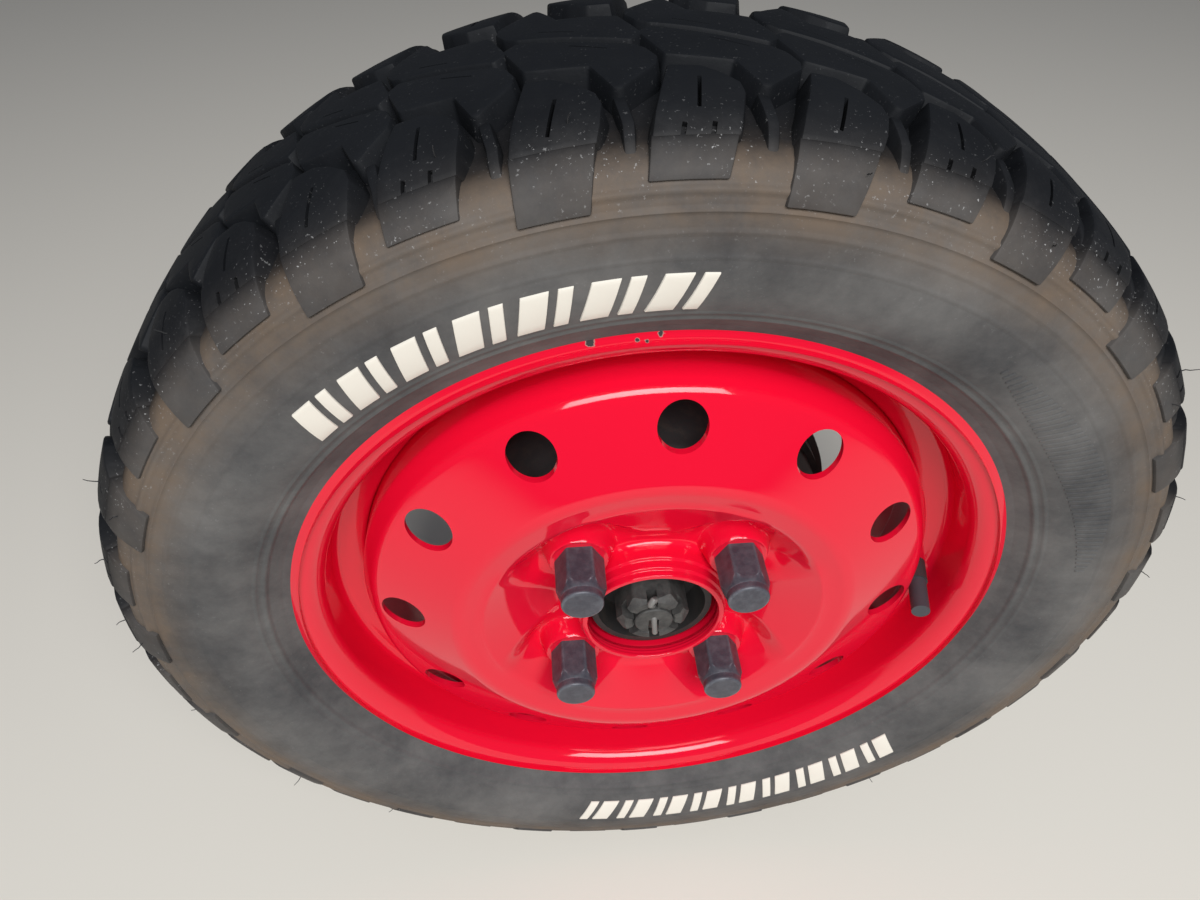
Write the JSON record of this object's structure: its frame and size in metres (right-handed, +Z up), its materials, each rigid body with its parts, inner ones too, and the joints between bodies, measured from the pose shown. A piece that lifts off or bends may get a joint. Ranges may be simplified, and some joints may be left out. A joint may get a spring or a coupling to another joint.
{
  "type": "truck wheel with mud tyre on its hub and axle end",
  "caption": "Steel disc wheel with a blocky mud tyre, lug nuts, hub, brake drum and stub shaft that turn together in a bearing housing with its backing plate.",
  "frame": {"origin": "centre of the spin axis on the bearing housing's face that bolts to the axle", "axes": "+Y along the spin axis towards the vehicle, so the wheel's open outside faces -Y; +Z up; +X to the right seen from outside"},
  "size_m": [0.5281, 0.1575, 0.5283],
  "materials": {
    "tyre": "worn rubber with dust and dried mud",
    "red_paint": "glossy red paint with small chips",
    "rubber": "matte",
    "cap_plastic": "matte",
    "dark_steel": "worn dark coating",
    "bare_steel": "zinc plated, dull",
    "cast_iron": "dull, lightly rusted",
    "black_paint": "satin"
  },
  "bodies": {
    "axle_end": {"bearing_housing": "cast_iron", "backing_plate": "black_paint", "housing_bolt_1": "bare_steel", "housing_bolt_2": "bare_steel", "housing_bolt_3": "bare_steel", "housing_bolt_4": "bare_steel", "cylinder_bolts": "bare_steel", "bleed_screw": "bare_steel", "inspection_plug": "rubber"},
    "wheel": {"tyre": "tyre", "rim": "red_paint", "disc": "red_paint", "valve_stem": "rubber", "valve_cap": "cap_plastic", "lug_nut_1": "dark_steel", "lug_nut_2": "dark_steel", "lug_nut_3": "dark_steel", "lug_nut_4": "dark_steel", "wheel_stud_1": "bare_steel", "wheel_stud_2": "bare_steel", "wheel_stud_3": "bare_steel", "wheel_stud_4": "bare_steel", "hub": "cast_iron", "brake_drum": "cast_iron", "hub_washer": "dark_steel", "castle_nut": "dark_steel", "cotter_pin": "bare_steel", "stub_shaft": "dark_steel"}
  },
  "joints": [
    {"name": "wheel_spin", "type": "hinge", "parent": "axle_end", "child": "wheel", "pos_m": [0, 0, 0], "axis": [0, 1, 0], "continuous": true}
  ]
}
